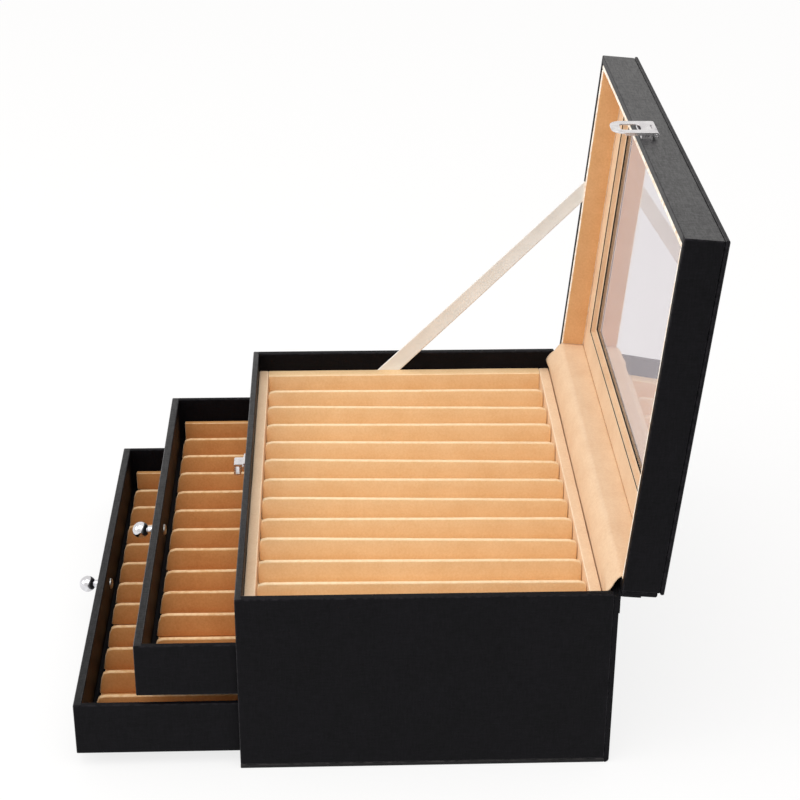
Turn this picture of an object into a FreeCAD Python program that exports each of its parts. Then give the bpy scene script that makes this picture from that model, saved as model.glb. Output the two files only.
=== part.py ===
import FreeCAD, Part
import Sketcher
import os
import re

# Pen collector chest: a three-tier box of wrapped boards with a glazed lid and two drawers.
# Millimetres. +Z up, the front with the drawers faces -Y, and the origin is the middle of the
# base, on the surface that the chest stands on. The chest is built with its lid open against
# the ribbon stay and both drawers pulled part way out.

sizes = {
    # case carcass
    "case_width": 310.0,
    "case_depth": 205.0,
    "wall": 4.6,
    "base_cover": 2.6,
    "base_board": 5.4,
    "shelf_board": 4.7,
    "tray_board": 4.7,
    "well_depth": 26.6,
    "cover_board": 2.6,
    "cover_round": 2.4,
    "cover_edge_round": 1.2,
    "back_drop": 5.0,
    # drawers
    "drawer_height": 32.7,
    "drawer_run": 0.4,
    "drawer_head": 0.9,
    "drawer_side_gap": 0.4,
    "drawer_end_gap": 0.8,
    "drawer_front": 4.8,
    "drawer_wall": 3.2,
    "drawer_bottom": 2.8,
    "upper_pull": 56.3,
    "lower_pull": 91.7,
    # slotted inserts
    "slot_count": 12,
    "divider": 2.6,
    "divider_height": 12.9,
    "divider_round": 3.8,
    "divider_play": 0.3,
    "pad": 1.5,
    "liner": 3.4,
    "insert_gap": 3.6,
    "front_strip": 6.6,
    "back_strip": 5.7,
    "end_strip": 8.3,
    "strip_play": 0.6,
    # lid
    "lid_open": 95.26,
    "hinge_drop": 0.6,
    "hinge_slit": 0.9,
    "rim_gap": 0.3,
    "lid_wall": 20.7,
    "top_board": 2.3,
    "overhang": 0.7,
    "back_board_stop": 1.2,
    "glass": 1.4,
    "glass_play": 0.5,
    "bead": 0.7,
    "bead_step": 3.0,
    "inner_frame": 3.5,
    "frame_margin": 18.0,
    "lining": 3.0,
    "lining_inset": 0.3,
    # cloth
    "cloth": 0.8,
    "cloth_tuck": 9.0,
    "cloth_clear": 0.3,
    "skin": 0.8,
    "ribbon": 0.4,
    "ribbon_play": 0.1,
    "ribbon_cut": 16.0,
    "ribbon_tuck": 7.0,
    "ribbon_foot": -9.9,
    "ribbon_reach": 117.9,
    # latch
    "latch_side": -3.2,
    "plate": 0.9,
    "hasp_width": 20.4,
    "hasp_low": 0.6,
    "hasp_axis": 9.0,
    "base_leaf": 1.7,
    "knuckle": 1.6,
    "knuckle_lift": 2.9,
    "knuckle_clear": 0.3,
    "knuckle_share": 6.5,
    "hasp_pin": 0.75,
    "pin_play": 0.05,
    "flap_lean": 4.7,
    "flap_skirt": 1.9,
    "flap_tip": 5.3,
    "flap_round": 7.2,
    "flap_slot_below": 0.8,
    "flap_slot_above": 3.5,
    "flap_slot_side": 0.7,
    "flap_slot_round": 2.0,
    "rivet_head": 1.7,
    "rivet_rise": 0.9,
    "rivet_shank": 0.8,
    "rivet_length": 3.6,
    "rivet_spread": 6.0,
    "rivet_up": 4.2,
    "staple_width": 9.0,
    "staple_height": 7.6,
    "staple_reach": 6.8,
    "staple_gap": 2.4,
    "staple_strap": 1.1,
    "staple_round": 0.9,
    "staple_below_rim": 5.5,
    "staple_plate_width": 12.8,
    "staple_plate_height": 4.6,
    "staple_plate_below_rim": 2.4,
    "tack_head": 0.9,
    "tack_rise": 0.6,
    "tack_shank": 0.45,
    "tack_length": 3.0,
    # knobs
    "knob_ball": 5.1,
    "knob_reach": 9.5,
    "knob_neck": 2.3,
    "knob_flange": 3.9,
    "knob_flange_thick": 1.5,
    "knob_rise": 0.8,
    "screw_shank": 2.0,
    "screw_play": 0.1,
    "screw_bite": 3.0,
    "screw_head": 3.4,
    "screw_head_thick": 1.6,
}

def opened_y(y, z):
    """Y of a lid point with the lid open, from its place with the lid closed."""
    reach = f"({y} - hinge_y) * cos(lid_open * 1 deg)"
    return f"(hinge_y + {reach} + ({z} - hinge_z) * sin(lid_open * 1 deg))"


def opened_z(y, z):
    """Z of a lid point with the lid open, from its place with the lid closed."""
    drop = f"({y} - hinge_y) * sin(lid_open * 1 deg)"
    return f"(hinge_z - {drop} + ({z} - hinge_z) * cos(lid_open * 1 deg))"


# Places worked out from the sizes. A name here stands for its text in the texts below.
places = {
    "side": "case_width / 2",
    "back": "case_depth / 2",
    "front": "-back",
    "inner_side": "side - wall",
    "inner_back": "back - wall",
    "inner_front": "front + wall",
    "base_top": "base_cover + base_board",
    "lower_floor": "base_top + drawer_run",
    "lower_rim": "lower_floor + drawer_height",
    "shelf_low": "lower_rim + drawer_head",
    "shelf_top": "shelf_low + shelf_board",
    "upper_floor": "shelf_top + drawer_run",
    "upper_rim": "upper_floor + drawer_height",
    "tray_low": "upper_rim + drawer_head",
    "tray_base": "tray_low + tray_board",
    "rim": "tray_base + well_depth",
    "tray_top": "tray_base + pad + divider_height",
    # slots of the tray; the drawers have theirs in line with them
    "tray_side": "inner_side - strip_play",
    "slot_side": "tray_side - end_strip",
    "slot_pitch": "(2 * slot_side + divider) / slot_count",
    "tray_front": "inner_front + strip_play + front_strip",
    "strip_back": "inner_back - cloth - divider_play",
    "tray_back": "strip_back - back_strip",
    # drawers, closed, from their own floors; each slides out along -Y from here
    "drawer_side": "inner_side - drawer_side_gap",
    "drawer_back": "inner_back - drawer_end_gap",
    "drawer_inner": "drawer_side - drawer_wall",
    "insert_front": "front + drawer_front + insert_gap",
    "insert_back": "drawer_back - drawer_wall - insert_gap",
    "pad_top": "drawer_bottom + pad",
    "knob_up": "drawer_height / 2 + knob_rise",
    # lid, closed
    "hinge_y": "back + cover_board",
    "hinge_z": "rim - hinge_drop",
    "lid_low": "rim + rim_gap",
    "lid_top": "lid_low + lid_wall",
    "glass_low": "lid_top - glass",
    "bead_low": "glass_low - bead",
    "frame_low": "bead_low - inner_frame",
    "pane_side": "inner_side - glass_play",
    "pane_back": "inner_back - glass_play",
    "window_side": "inner_side - frame_margin",
    "window_back": "inner_back - frame_margin",
    # latch, with the lid closed
    "pin_y": "front - knuckle_lift",
    "pin_z": "lid_low + hasp_axis",
    "flap_face": "pin_y - knuckle",
    "leaf_top": "pin_z - knuckle - knuckle_clear",
    "hasp_left": "latch_side - hasp_width / 2",
    "hasp_right": "latch_side + hasp_width / 2",
    "tongue": "hasp_width / 2 - knuckle_share",
    "staple_up": "rim - staple_below_rim",
    "staple_high": "staple_up + staple_height / 2",
    "staple_low": "staple_up - staple_height / 2",
    "plate_up": "rim - staple_plate_below_rim",
    "plate_low": "plate_up - staple_plate_height / 2",
    "tack_spread": "(staple_width + staple_plate_width) / 4",
    "flap_slot_low": "staple_low - flap_slot_below",
    "flap_slot_high": "staple_high + flap_slot_above",
    "flap_slot_half": "staple_width / 2 + flap_slot_side",
    "flap_low": "flap_slot_low - flap_tip",
    # ribbon stay, with the lid open
    "ribbon_top_y": opened_y("back - ribbon_reach", "lid_low - cloth_clear"),
    "ribbon_top_z": opened_z("back - ribbon_reach", "lid_low - cloth_clear"),
    "ribbon_lean": "(ribbon_top_y - ribbon_foot) / (ribbon_top_z - tray_top)",
}

word = re.compile(r"[a-z][a-z_]*")
touching = 0.001  # mm, for telling which edges lie on a face
upward = FreeCAD.Vector(0, 0, 1)
axes = {"x": FreeCAD.Vector(1, 0, 0), "y": FreeCAD.Vector(0, 1, 0)}


def linked(text):
    """The text as an expression: each place written out, and each size as its cell."""

    def swap(match):
        name = match.group(0)
        if name in places:
            return "(" + linked(places[name]) + ")"
        if name in sizes:
            return "Sizes." + name
        return name

    return word.sub(swap, str(text))


doc = FreeCAD.newDocument("PenChest")
sheet = doc.addObject("Spreadsheet::Sheet", "Sizes")
for row, (name, value) in enumerate(sizes.items(), start=1):
    sheet.set(f"A{row}", name)
    sheet.set(f"B{row}", str(value))
    sheet.setAlias(f"B{row}", name)
doc.recompute()


def tie(thing, **texts):
    """Binds properties of an object to the sheet. A double underscore stands for a dot."""
    for name, text in texts.items():
        thing.setExpression(name.replace("__", "."), linked(text))


def piece(name, home):
    """A body for one node, placed by home. It may hold several separate solids."""
    body = doc.addObject("PartDesign::Body", name)
    body.Label = name
    body.AllowCompound = True
    home(body)
    return body


def stand(body):
    """The case pieces are drawn where they stand."""


def place_at(x, y, z, turn):
    """Placement text: a point, then a turn about the X direction in degrees."""
    point = f"create(<<vector>>; {linked(x)}; {linked(y)}; {linked(z)})"
    about = f"create(<<rotation>>; create(<<vector>>; 1; 0; 0); {linked(turn)})"
    return f"create(<<placement>>; {point}; {about})"


def ride_lid(body):
    """The lid pieces are drawn with the lid closed, then swung open about the hinge."""
    place = place_at("0", opened_y("0", "0"), opened_z("0", "0"), "-lid_open")
    body.setExpression("Placement", place)


def ride_hasp(body):
    """The flap is drawn upright below its pin, then leaned in to the case and swung with the lid."""
    turn = "flap_lean - lid_open"
    cos, sin = (f"{ratio}(({turn}) * 1 deg)" for ratio in ("cos", "sin"))
    y = f"{opened_y('pin_y', 'pin_z')} - pin_y * {cos} + pin_z * {sin}"
    z = f"{opened_z('pin_y', 'pin_z')} - pin_y * {sin} - pin_z * {cos}"
    body.setExpression("Placement", place_at("0", y, z, turn))


def ride_drawer(tier):
    """The drawer pieces are drawn closed on their own floor, then pulled out."""

    def home(body):
        body.setExpression("Placement", place_at("0", f"-{tier}_pull", f"{tier}_floor", "0"))

    return home


def block(body, x, y, z, kind="Additive"):
    """A box from low to high along each axis, added to the body or cut out of it."""
    box = body.newObject(f"PartDesign::{kind}Box", "Box")
    for length, axis, (low, high) in zip(("Length", "Width", "Height"), "xyz", (x, y, z)):
        tie(box, **{length: f"({high}) - ({low})", f"Placement__Base__{axis}": low})
    doc.recompute()
    return box


def rod(body, radius, point, along, length, kind="Additive"):
    """A round bar from a point along X or Y, added to the body or cut out of it."""
    bar = body.newObject(f"PartDesign::{kind}Cylinder", "Rod")
    turn = FreeCAD.Rotation(upward, axes[along])
    bar.Placement = FreeCAD.Placement(FreeCAD.Vector(), turn)
    tie(bar, Radius=radius, Height=length)
    for axis, low in zip("xyz", point):
        tie(bar, **{f"Placement__Base__{axis}": low})
    doc.recompute()
    return bar


def edges_where(feature, along, test):
    """Names of the feature's straight edges along X, Y or Z that pass a test.

    The test reads the middle of the edge and the box around the whole shape."""
    box = feature.Shape.BoundBox
    names = []
    for number, edge in enumerate(feature.Shape.Edges, start=1):
        straight = edge.Curve.TypeId == "Part::GeomLine"
        lean = abs(getattr(edge.tangentAt(edge.FirstParameter), along))
        if straight and round(lean) == 1 and test(edge.CenterOfMass, box):
            names.append(f"Edge{number}")
    return names


def on_top(middle, box):
    return middle.z > box.ZMax - touching


def at_foot(middle, box):
    return middle.z < box.ZMin + touching


def in_front(middle, box):
    return middle.y < box.YMin + touching


def behind(middle, box):
    return middle.y > box.YMax - touching


def behind_foot(middle, box):
    return behind(middle, box) and at_foot(middle, box)


def within(middle, box):
    """Edges of a hole, clear of the outline."""
    off_end = at_foot(middle, box) or on_top(middle, box)
    return not off_end and box.XMin + touching < middle.x < box.XMax - touching


def soften(body, feature, radius, along, test):
    """Rounds the edges of a feature that run along an axis and pass a test."""
    fillet = body.newObject("PartDesign::Fillet", "Fillet")
    fillet.Base = (feature, edges_where(feature, along, test))
    tie(fillet, Radius=radius)
    doc.recompute()
    return fillet


def board(name, home, x, y, z):
    """A plain rectangular board or pad."""
    body = piece(name, home)
    block(body, x, y, z)
    return body


def window_board(name, home, x, y, z, hole_x, hole_y):
    """A board with a rectangular window through its thickness."""
    body = board(name, home, x, y, z)
    block(body, hole_x, hole_y, z, "Subtractive")
    return body


def origin_feature(body, role):
    """One of the body's own planes or axes."""
    return next(feature for feature in body.Origin.OriginFeatures if feature.Role == role)


def strip(name, home, corners, x):
    """A straight strip along X, whose section in the YZ plane has the given corners."""
    body = piece(name, home)
    sketch = body.newObject("Sketcher::SketchObject", "Section")
    sketch.AttachmentSupport = [(origin_feature(body, "YZ_Plane"), "")]
    sketch.MapMode = "FlatFace"
    tie(sketch, AttachmentOffset__Base__z=x[0])
    count = len(corners)
    start = [FreeCAD.Vector(number, number * number, 0) for number in range(count)]
    for number in range(count):
        sketch.addGeometry(Part.LineSegment(start[number], start[(number + 1) % count]))
    for number, corner in enumerate(corners):
        before = (number - 1) % count
        sketch.addConstraint(Sketcher.Constraint("Coincident", before, 2, number, 1))
        for axis, text in zip(("DistanceX", "DistanceY"), corner):
            row = sketch.addConstraint(Sketcher.Constraint(axis, -1, 1, number, 1, 1.0))
            sketch.setExpression(f"Constraints[{row}]", linked(text))
    doc.recompute()
    pad = body.newObject("PartDesign::Pad", "Pad")
    pad.Profile = sketch
    tie(pad, Length=f"({x[1]}) - ({x[0]})")
    doc.recompute()
    return body


def dividers(name, home, y, low):
    """The thin cards between the slots of one tier, round at their upper corners."""
    body = piece(name, home)
    first = "-(slot_count - 2) * slot_pitch / 2"
    card = block(
        body,
        (f"{first} - divider / 2", f"{first} + divider / 2"),
        y,
        (low, f"{low} + divider_height"),
    )
    corners = soften(body, card, "divider_round", "x", on_top)
    row = body.newObject("PartDesign::LinearPattern", "Row")
    row.Originals = [card, corners]
    row.Direction = (origin_feature(body, "X_Axis"), [""])
    tie(row, Length="(slot_count - 2) * slot_pitch", Occurrences="slot_count - 1")
    body.Tip = row
    doc.recompute()


full_width = ("-side", "side")
inside = ("-inner_side", "inner_side")
full_depth = ("front", "back")

# Case carcass
board("base_cover", stand, full_width, full_depth, ("0", "base_cover"))
left_wall = ("-side", "-inner_side")
right_wall = ("inner_side", "side")
board("end_wall_left", stand, left_wall, full_depth, ("base_cover", "rim"))
board("end_wall_right", stand, right_wall, full_depth, ("base_cover", "rim"))
board("back_wall", stand, inside, ("inner_back", "back"), ("base_cover", "rim - back_drop"))
board("base_board", stand, inside, ("front", "inner_back"), ("base_cover", "base_top"))
board("drawer_shelf", stand, inside, ("front", "inner_back"), ("shelf_low", "shelf_top"))
board("tray_floor", stand, inside, ("inner_front", "inner_back"), ("tray_low", "tray_base"))
rail = board("front_rail", stand, inside, ("front", "inner_front"), ("tray_low", "rim"))
for side in (-1, 1):
    tack = (f"latch_side + {side} * tack_spread", "front", "plate_up")
    rod(rail, "tack_shank + pin_play", tack, "y", "tack_length", "Subtractive")

back_cover = piece("back_cover", stand)
spine = block(back_cover, full_width, ("back", "hinge_y"), ("0", "hinge_z - hinge_slit"))
soften(back_cover, spine, "cover_round", "x", behind_foot)

# Top tray insert
slots = ("-slot_side", "slot_side")
slot_run = ("tray_front", "tray_back")
standing = ("tray_base", "tray_top")
board("tray_pad", stand, slots, slot_run, ("tray_base", "tray_base + pad"))
strips = ("-tray_side", "tray_side")
board("tray_front_strip", stand, strips, ("inner_front + strip_play", "tray_front"), standing)
board("tray_back_strip", stand, strips, ("tray_back", "strip_back"), standing)
board("tray_left_strip", stand, (strips[0], "-slot_side"), slot_run, standing)
board("tray_right_strip", stand, ("slot_side", strips[1]), slot_run, standing)
card_run = ("tray_front + divider_play", "tray_back - divider_play")
dividers("tray_dividers", stand, card_run, "tray_base + pad")

# Drawers
across = ("-drawer_side", "drawer_side")
between = ("-drawer_inner", "drawer_inner")
tall = ("0", "drawer_height")
behind_front = "front + drawer_front"
for tier in ("upper", "lower"):
    home = ride_drawer(tier)
    drawer = tier + "_drawer_"
    face = board(drawer + "front", home, across, ("front", behind_front), tall)
    hole = ("0", "front", "knob_up")
    rod(face, "screw_shank + screw_play", hole, "y", "drawer_front", "Subtractive")
    side_y = (behind_front, "drawer_back")
    board(drawer + "left_side", home, ("-drawer_side", "-drawer_inner"), side_y, tall)
    board(drawer + "right_side", home, ("drawer_inner", "drawer_side"), side_y, tall)
    board(drawer + "back", home, between, ("drawer_back - drawer_wall", "drawer_back"), tall)
    floor_y = (behind_front, "drawer_back - drawer_wall")
    board(drawer + "bottom", home, between, floor_y, ("0", "drawer_bottom"))
    insert = ("insert_front", "insert_back")
    lined = ("-slot_side - liner", "slot_side + liner")
    board(drawer + "pad", home, lined, insert, ("drawer_bottom", "pad_top"))
    liner_z = ("pad_top", "pad_top + divider_height")
    liners = {"left_liner": (lined[0], "-slot_side"), "right_liner": ("slot_side", lined[1])}
    for name, x in liners.items():
        liner = piece(drawer + name, home)
        card = block(liner, x, insert, liner_z)
        soften(liner, card, "divider_round", "x", on_top)
    dividers(drawer + "dividers", home, insert, "pad_top")

    knob = piece(drawer + "knob", home)
    flange = ("0", "front - knob_flange_thick", "knob_up")
    rod(knob, "knob_flange", flange, "y", "knob_flange_thick")
    rod(knob, "knob_neck", ("0", "front - knob_reach", "knob_up"), "y", "knob_reach")
    ball = knob.newObject("PartDesign::AdditiveSphere", "Ball")
    tie(ball, Radius="knob_ball", Placement__Base__y="front - knob_reach", Placement__Base__z="knob_up")
    doc.recompute()
    bore = ("0", "front - screw_bite - screw_play", "knob_up")
    rod(knob, "screw_shank + pin_play", bore, "y", "screw_bite + screw_play", "Subtractive")

    screw = piece(drawer + "knob_screw", home)
    rod(screw, "screw_shank", ("0", "front - screw_bite", "knob_up"), "y", "screw_bite + drawer_front")
    rod(screw, "screw_head", ("0", behind_front, "knob_up"), "y", "screw_head_thick")

# Lid
lid_tall = ("lid_low", "lid_top")
board("lid_left_wall", ride_lid, left_wall, full_depth, lid_tall)
board("lid_right_wall", ride_lid, right_wall, full_depth, lid_tall)
board("lid_back_wall", ride_lid, inside, ("inner_back", "back"), lid_tall)
lid_front = board("lid_front_wall", ride_lid, inside, ("front", "inner_front"), lid_tall)
for side in (-1, 1):
    rivet = (f"latch_side + {side} * rivet_spread", "front", "lid_low + rivet_up")
    rod(lid_front, "rivet_shank + pin_play", rivet, "y", "rivet_length", "Subtractive")

lid_back = piece("lid_back_board", ride_lid)
flap_board = block(
    lid_back,
    full_width,
    ("back", "hinge_y"),
    ("hinge_z + hinge_slit + rim_gap", "lid_top - back_board_stop"),
)
soften(lid_back, flap_board, "cover_edge_round", "x", behind)

frame_x = ("-window_side", "window_side")
frame_y = ("-window_back", "window_back")
glazed_x = ("-window_side + bead_step", "window_side - bead_step")
glazed_y = ("-window_back + bead_step", "window_back - bead_step")
window_board(
    "lid_top_board",
    ride_lid,
    ("-side - overhang", "side + overhang"),
    ("front - overhang", "back + overhang"),
    ("lid_top", "lid_top + top_board"),
    glazed_x,
    glazed_y,
)
pane_x = ("-pane_side", "pane_side")
pane_y = ("-pane_back", "pane_back")
board("window_glass", ride_lid, pane_x, pane_y, ("glass_low", "lid_top"))
window_board("window_bead", ride_lid, pane_x, pane_y, ("bead_low", "glass_low"), glazed_x, glazed_y)
window_board("lid_inner_frame", ride_lid, pane_x, pane_y, ("frame_low", "bead_low"), frame_x, frame_y)

lining_z = ("lid_low + lining_inset", "frame_low")
side_lining_y = ("inner_front + lining", "inner_back - lining")
board("lid_left_lining", ride_lid, ("-inner_side", "-inner_side + lining"), side_lining_y, lining_z)
board("lid_right_lining", ride_lid, ("inner_side - lining", "inner_side"), side_lining_y, lining_z)
board("lid_front_lining", ride_lid, inside, ("inner_front", "inner_front + lining"), lining_z)
board("lid_back_lining", ride_lid, inside, ("inner_back - lining", "inner_back"), lining_z)

# Cloth: the lining that bridges the hinge inside, the skin that bridges it outside, and the stay
lining_edge = ("inner_back - cloth - cloth_clear", "lid_low - cloth_clear")
lining_back = ("inner_back - cloth_clear", "lid_low - cloth_clear")
strip(
    "hinge_lining",
    stand,
    [
        ("inner_back", "tray_top - cloth_tuck"),
        ("inner_back", "rim - back_drop + cloth_clear"),
        (opened_y(*lining_back), opened_z(*lining_back)),
        (opened_y(*lining_edge), opened_z(*lining_edge)),
        ("inner_back - cloth", "rim - back_drop + cloth_clear"),
        ("inner_back - cloth", "tray_top - cloth_tuck"),
    ],
    ("-inner_side + cloth_clear", "inner_side - cloth_clear"),
)
skin_low = "hinge_z + hinge_slit + rim_gap - cloth_clear"
strip(
    "hinge_skin",
    stand,
    [
        ("hinge_y - skin", "hinge_z - hinge_slit"),
        ("hinge_y", "hinge_z - hinge_slit"),
        (opened_y("hinge_y", skin_low), opened_z("hinge_y", skin_low)),
        (opened_y("hinge_y - skin", skin_low), opened_z("hinge_y - skin", skin_low)),
    ],
    full_width,
)
foot_z = "tray_top - ribbon_tuck"
foot_y = "ribbon_foot - ribbon_tuck * ribbon_lean"
half_cut = "ribbon_cut / 2"
far_end = ("back - ribbon_reach - ribbon_cut / 2", "lid_low - cloth_clear")
near_end = ("back - ribbon_reach + ribbon_cut / 2", "lid_low - cloth_clear")
strip(
    "ribbon_stay",
    stand,
    [
        (f"{foot_y} - {half_cut}", foot_z),
        (f"{foot_y} + {half_cut}", foot_z),
        (opened_y(*near_end), opened_z(*near_end)),
        (opened_y(*far_end), opened_z(*far_end)),
    ],
    ("-inner_side + ribbon_play", "-inner_side + ribbon_play + ribbon"),
)

# Latch: a staple on the case, and a hinged flap over a base plate on the lid
staple = piece("staple", stand)
block(
    staple,
    ("latch_side - staple_plate_width / 2", "latch_side + staple_plate_width / 2"),
    ("front - plate", "front"),
    ("plate_low", "plate_up + staple_plate_height / 2"),
)
for side in (-1, 1):
    tack = (f"latch_side + {side} * tack_spread", "front - plate", "plate_up")
    rod(staple, "tack_shank + pin_play", tack, "y", "plate", "Subtractive")
strap_x = ("latch_side - staple_width / 2", "latch_side + staple_width / 2")
loop_y = ("front - staple_reach", "front - staple_gap")
loop = block(staple, strap_x, loop_y, ("staple_low", "staple_high"))
soften(staple, loop, "staple_round", "x", in_front)
block(staple, strap_x, ("front - staple_gap", "front - plate"), ("plate_low", "staple_high"))
block(
    staple,
    strap_x,
    ("front - staple_reach + staple_strap", "front - staple_gap - staple_strap"),
    ("staple_low + staple_strap", "staple_high - staple_strap"),
    "Subtractive",
)

tacks = piece("staple_tacks", stand)
for side in (-1, 1):
    x = f"latch_side + {side} * tack_spread"
    rod(tacks, "tack_shank", (x, "front - plate", "plate_up"), "y", "plate + tack_length")
    rod(tacks, "tack_head", (x, "front - plate - tack_rise", "plate_up"), "y", "tack_rise")

middle_x = ("latch_side - tongue + knuckle_clear / 2", "latch_side + tongue - knuckle_clear / 2")
pin_hole = ("hasp_left - knuckle_clear", "pin_y", "pin_z")
pin_span = "hasp_width + 2 * knuckle_clear"
base = piece("hasp_base", ride_lid)
leaf_y = ("front - base_leaf", "front")
block(base, ("hasp_left", "hasp_right"), leaf_y, ("lid_low + hasp_low", "leaf_top"))
block(base, middle_x, ("pin_y", "front"), ("leaf_top - plate", "pin_z"))
rod(base, "knuckle", (middle_x[0], "pin_y", "pin_z"), "x", f"({middle_x[1]}) - ({middle_x[0]})")
rod(base, "hasp_pin + pin_play", pin_hole, "x", pin_span, "Subtractive")
for side in (-1, 1):
    rivet = (f"latch_side + {side} * rivet_spread", "front - base_leaf", "lid_low + rivet_up")
    rod(base, "rivet_shank + pin_play", rivet, "y", "base_leaf", "Subtractive")

rivets = piece("hasp_rivets", ride_lid)
for side in (-1, 1):
    x = f"latch_side + {side} * rivet_spread"
    rivet = (x, "front - base_leaf", "lid_low + rivet_up")
    rod(rivets, "rivet_shank", rivet, "y", "base_leaf + rivet_length")
    head = (x, "front - base_leaf - rivet_rise", "lid_low + rivet_up")
    rod(rivets, "rivet_head", head, "y", "rivet_rise")

pin = piece("hasp_pin", ride_lid)
rod(pin, "hasp_pin", ("hasp_left", "pin_y", "pin_z"), "x", "hasp_width")

flap = piece("hasp_flap", ride_hasp)
flap_y = ("flap_face", "flap_face + plate")
leaf = block(flap, ("hasp_left", "hasp_right"), flap_y, ("flap_low", "pin_z"))
soften(flap, leaf, "flap_round", "y", at_foot)
slot_x = ("latch_side - flap_slot_half", "latch_side + flap_slot_half")
slot_z = ("flap_slot_low", "flap_slot_high")
slot = block(flap, slot_x, flap_y, slot_z, "Subtractive")
soften(flap, slot, "flap_slot_round", "y", within)
block(
    flap,
    ("latch_side - tongue - knuckle_clear / 2", "latch_side + tongue + knuckle_clear / 2"),
    flap_y,
    ("leaf_top", "pin_z"),
    "Subtractive",
)
skirt_y = ("flap_face", "flap_face + flap_skirt")
for x in (("hasp_left", "hasp_left + plate"), ("hasp_right - plate", "hasp_right")):
    block(flap, x, skirt_y, ("flap_low + flap_round", "leaf_top"))
outer = "knuckle_share - knuckle_clear / 2"
for start in ("hasp_left", "hasp_right - knuckle_share + knuckle_clear / 2"):
    rod(flap, "knuckle", (start, "pin_y", "pin_z"), "x", outer)
rod(flap, "hasp_pin + pin_play", pin_hole, "x", pin_span, "Subtractive")

doc.recompute()
bodies = [thing for thing in doc.Objects if thing.TypeId == "PartDesign::Body"]
for thing in doc.Objects:
    if "Invalid" in thing.State or "Error" in thing.State:
        raise RuntimeError(f"{thing.Label} did not build: {thing.State}")
for body in bodies:
    if body.Shape.isNull() or not body.Shape.isValid() or body.Shape.Volume <= 0:
        raise RuntimeError(f"{body.Label} has no valid shape")

os.makedirs("parts", exist_ok=True)
for body in bodies:
    body.Shape.exportStep(f"parts/{body.Label}.step")
    print(body.Label, len(body.Shape.Solids), "solids", round(body.Shape.Volume, 1), "mm3")
print(len(bodies), "nodes")
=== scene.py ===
import itertools
import math
import bmesh
import bpy
from mathutils import Euler, Matrix, Vector, noise


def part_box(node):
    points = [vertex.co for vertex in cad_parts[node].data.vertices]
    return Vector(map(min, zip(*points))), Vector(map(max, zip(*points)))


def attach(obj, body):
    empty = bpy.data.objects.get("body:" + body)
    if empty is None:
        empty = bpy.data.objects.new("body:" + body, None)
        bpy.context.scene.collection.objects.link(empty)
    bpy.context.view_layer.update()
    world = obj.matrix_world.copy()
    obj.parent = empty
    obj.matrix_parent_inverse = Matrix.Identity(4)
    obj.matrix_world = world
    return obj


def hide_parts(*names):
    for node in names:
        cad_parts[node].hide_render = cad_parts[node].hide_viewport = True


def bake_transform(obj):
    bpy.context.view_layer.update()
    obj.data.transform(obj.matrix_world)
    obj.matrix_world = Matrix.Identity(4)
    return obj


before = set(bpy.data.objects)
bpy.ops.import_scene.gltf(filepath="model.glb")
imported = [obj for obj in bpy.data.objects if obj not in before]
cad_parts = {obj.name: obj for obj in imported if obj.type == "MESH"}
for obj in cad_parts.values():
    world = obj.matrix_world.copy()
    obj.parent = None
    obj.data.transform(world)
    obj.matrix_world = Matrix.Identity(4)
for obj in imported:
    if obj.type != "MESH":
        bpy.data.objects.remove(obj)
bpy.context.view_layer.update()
mm = 0.001
noise.seed_set(7)  # every run then has the same unevenness

# shader helpers


def operator(operation, reflected=False):
    # adds one Math node
    def act(self, other):
        first, second = (other, self) if reflected else (self, other)
        return self.finish.put("ShaderNodeMath", {"operation": operation}, {0: first, 1: second})

    return act


class Wire:
    # a socket that can be used in sums

    def __init__(self, finish, socket):
        self.finish = finish
        self.socket = socket

    __add__ = __radd__ = operator("ADD")
    __mul__ = __rmul__ = operator("MULTIPLY")
    __sub__, __rsub__ = operator("SUBTRACT"), operator("SUBTRACT", True)
    __truediv__, __rtruediv__ = operator("DIVIDE"), operator("DIVIDE", True)


def feed(tree, socket, value):
    # a wire or a socket is linked, anything else is set
    value = value.socket if isinstance(value, Wire) else value
    if isinstance(value, bpy.types.NodeSocket):
        tree.links.new(value, socket)
    else:
        socket.default_value = value


def addNode(tree, kind, settings=None, inputs=None):
    node = tree.nodes.new(kind)
    for name, value in (settings or {}).items():
        setattr(node, name, value)
    for name, value in (inputs or {}).items():
        feed(tree, node.inputs[name], value)
    return node.outputs


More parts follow.
